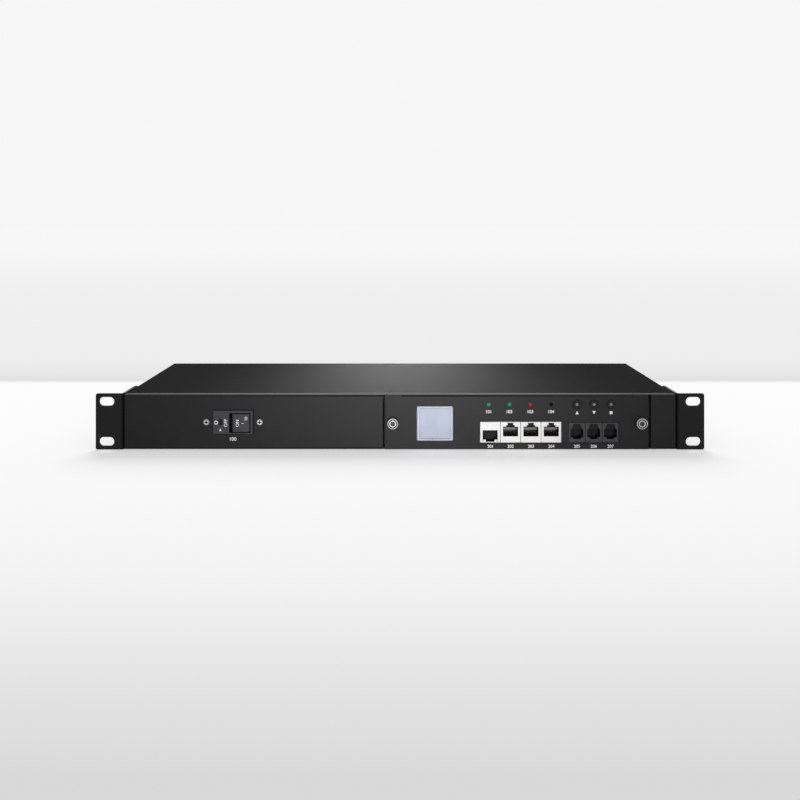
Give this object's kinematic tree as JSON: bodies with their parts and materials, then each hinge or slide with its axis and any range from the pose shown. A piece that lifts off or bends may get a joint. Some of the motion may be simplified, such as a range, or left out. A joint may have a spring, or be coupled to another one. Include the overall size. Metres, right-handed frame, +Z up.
{
  "type": "rack power distribution unit",
  "caption": "Shallow rack-mount power distribution unit with a breaker rocker, a slide-out control module with display, keys and jacks, and rear appliance outlets.",
  "frame": {"origin": "centre of the four rack slots, on the rear faces of the ears where they meet the rack's rails", "axes": "+X to the right seen from the front, +Y from the front panel to the rear, +Z up"},
  "size_m": [0.4826, 0.212, 0.0444],
  "materials": {
    "case_paint": "fine textured powder coat",
    "ear_paint": "fine textured powder coat, darker",
    "dark_screw": "blackened steel",
    "bright_screw": "nickel-plated, bright",
    "plated_sheet": "zinc-plated sheet",
    "captive_steel": "dark nickel, knurled",
    "guide_plastic": "moulded nylon",
    "breaker_plastic": "satin moulded face",
    "rocker_plastic": "satin black",
    "socket_plastic": "black moulding",
    "contact_brass": "plated contact",
    "copper_bar": "bare copper",
    "live_cover": "brown insulation",
    "neutral_cover": "blue insulation",
    "earth_cover": "green insulation",
    "board_green": "solder-masked laminate",
    "sensor_plastic": "cast resin ring",
    "ribbon_grey": "flat cable",
    "jack_white": "white moulding",
    "jack_grey": "dark grey moulding",
    "bezel_pale": "pale moulded frame",
    "window_film": "protective film, pale",
    "lcd_grey": "display glass, unlit",
    "lamp_green": "tinted lens",
    "lamp_red": "tinted lens",
    "lamp_amber": "small clear lens",
    "key_black": "satin black"
  },
  "bodies": {
    "chassis": {"base_tray": "case_paint", "top_cover": "case_paint", "rear_panel": "case_paint", "left_ear_bracket": "ear_paint", "right_ear_bracket": "ear_paint", "cover_screws": "dark_screw", "ear_screws": "dark_screw", "clinch_nuts": "plated_sheet", "bay_left_wall": "plated_sheet", "bay_right_wall": "plated_sheet", "card_guides": "guide_plastic", "edge_socket": "guide_plastic", "breaker_case": "breaker_plastic", "breaker_terminals": "contact_brass", "breaker_screws": "bright_screw", "outlets_left": "socket_plastic", "outlets_right": "socket_plastic", "inlet_housing": "socket_plastic", "inlet_pins": "contact_brass", "inlet_screws": "bright_screw", "live_busbar": "copper_bar", "earth_busbar": "copper_bar", "neutral_busbar": "copper_bar", "live_leads": "live_cover", "neutral_lead": "neutral_cover", "earth_lead": "earth_cover", "earth_stud": "bright_screw", "meter_board": "board_green", "board_fixings": "bright_screw", "current_transformer": "sensor_plastic", "supply_module": "socket_plastic", "ribbon_cable": "ribbon_grey"},
    "control_module": {"module_panel": "case_paint", "control_board": "board_green", "board_brackets": "plated_sheet", "module_screws": "bright_screw", "net_jack": "jack_white", "net_lamps": "lamp_amber", "serial_jack": "jack_white", "link_in_jack": "jack_white", "link_out_jack": "jack_white", "sensor_jack_1": "jack_grey", "sensor_jack_2": "jack_grey", "alarm_jack": "jack_grey", "jack_contacts": "contact_brass", "display_bezel": "bezel_pale", "display_window": "window_film", "lcd_module": "lcd_grey", "indicator_board": "board_green", "key_switches": "key_black", "status_lamps": "lamp_green", "alarm_lamp": "lamp_red", "captive_collars": "captive_steel"},
    "up_button": {"up_button": "key_black"},
    "down_button": {"down_button": "key_black"},
    "control_button": {"control_button": "key_black"},
    "reset_plunger": {"reset_plunger": "key_black"},
    "left_captive_screw": {"left_captive_screw": "captive_steel"},
    "right_captive_screw": {"right_captive_screw": "captive_steel"},
    "breaker_rocker": {"breaker_rocker": "rocker_plastic"}
  },
  "joints": [
    {"name": "module_slide", "type": "slide", "parent": "chassis", "child": "control_module", "axis": [0, -1, 0], "range_m": [0, 0.09]},
    {"name": "up_button_press", "type": "slide", "parent": "control_module", "child": "up_button", "axis": [0, 1, 0], "range_m": [0, 0.0004], "stiffness_N_per_m": 200, "springref_m": -0.005},
    {"name": "down_button_press", "type": "slide", "parent": "control_module", "child": "down_button", "axis": [0, 1, 0], "range_m": [0, 0.0004], "stiffness_N_per_m": 200, "springref_m": -0.005},
    {"name": "control_button_press", "type": "slide", "parent": "control_module", "child": "control_button", "axis": [0, 1, 0], "range_m": [0, 0.0004], "stiffness_N_per_m": 200, "springref_m": -0.005},
    {"name": "reset_plunger_press", "type": "slide", "parent": "control_module", "child": "reset_plunger", "axis": [0, 1, 0], "range_m": [0, 0.0004], "stiffness_N_per_m": 200, "springref_m": -0.005},
    {"name": "left_captive_screw_turn", "type": "hinge", "parent": "control_module", "child": "left_captive_screw", "pos_m": [-0.0057, -0.002, -0.0005], "axis": [0, -1, 0], "continuous": true},
    {"name": "right_captive_screw_turn", "type": "hinge", "parent": "control_module", "child": "right_captive_screw", "pos_m": [0.1903, -0.002, -0.0005], "axis": [0, -1, 0], "continuous": true},
    {"name": "breaker_toggle", "type": "hinge", "parent": "chassis", "child": "breaker_rocker", "pos_m": [-0.1259, 0.008, -0.0011], "axis": [0, 0, 1], "range_deg": [-12, 0]}
  ]
}
